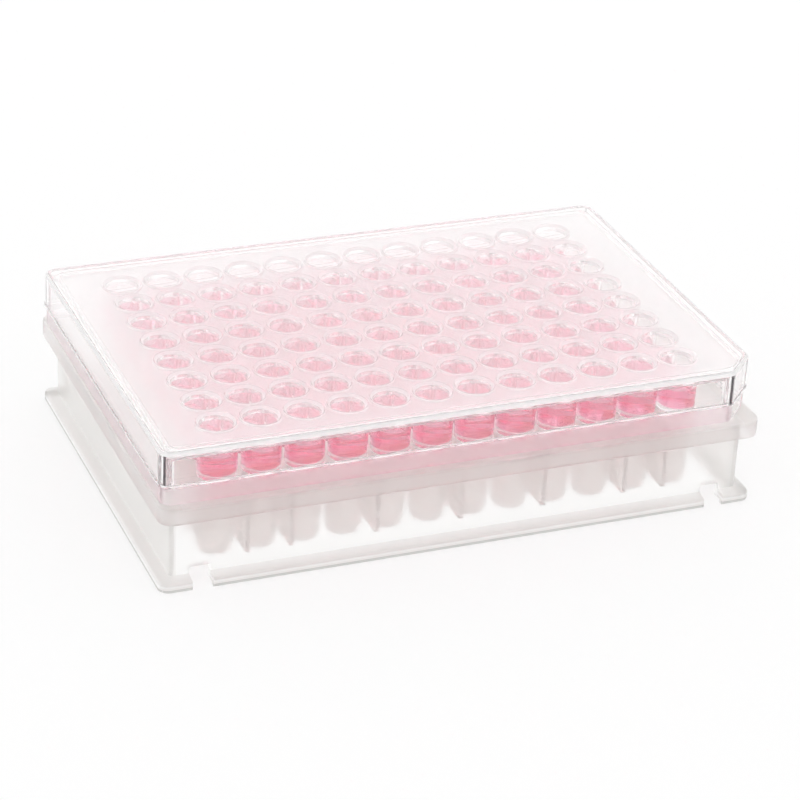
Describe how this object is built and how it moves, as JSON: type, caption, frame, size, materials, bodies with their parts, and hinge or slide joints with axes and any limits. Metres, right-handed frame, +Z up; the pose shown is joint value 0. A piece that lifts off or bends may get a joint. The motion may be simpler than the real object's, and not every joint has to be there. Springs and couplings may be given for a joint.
{
  "type": "well plate",
  "caption": "Lidded multiwell culture plate holding pink medium, standing on a collared receiver plate with 96 hanging tubes; stackable on the standard microplate footprint.",
  "frame": {"origin": "centre of the rectangle that encloses the stack, at the level of the foot's underside", "axes": "+X along the long side, from column 1 to column 12; +Y towards row A; +Z up out of the lid. The cut key corner of lid and well plate is at +X -Y."},
  "size_m": [0.1282, 0.0874, 0.0307],
  "materials": {
    "lid_clear_polystyrene": "clear polished",
    "plate_clear_polystyrene": "clear polished",
    "natural_polypropylene": "translucent satin",
    "culture_medium": "clear liquid"
  },
  "bodies": {
    "root": {"lid": "lid_clear_polystyrene", "well_plate": "plate_clear_polystyrene", "receiver_plate": "natural_polypropylene", "culture_medium_column_01": "culture_medium", "culture_medium_column_02": "culture_medium", "culture_medium_column_03": "culture_medium", "culture_medium_column_04": "culture_medium", "culture_medium_column_05": "culture_medium", "culture_medium_column_06": "culture_medium", "culture_medium_column_07": "culture_medium", "culture_medium_column_08": "culture_medium", "culture_medium_column_09": "culture_medium", "culture_medium_column_10": "culture_medium", "culture_medium_column_11": "culture_medium", "culture_medium_column_12": "culture_medium"}
  },
  "joints": []
}
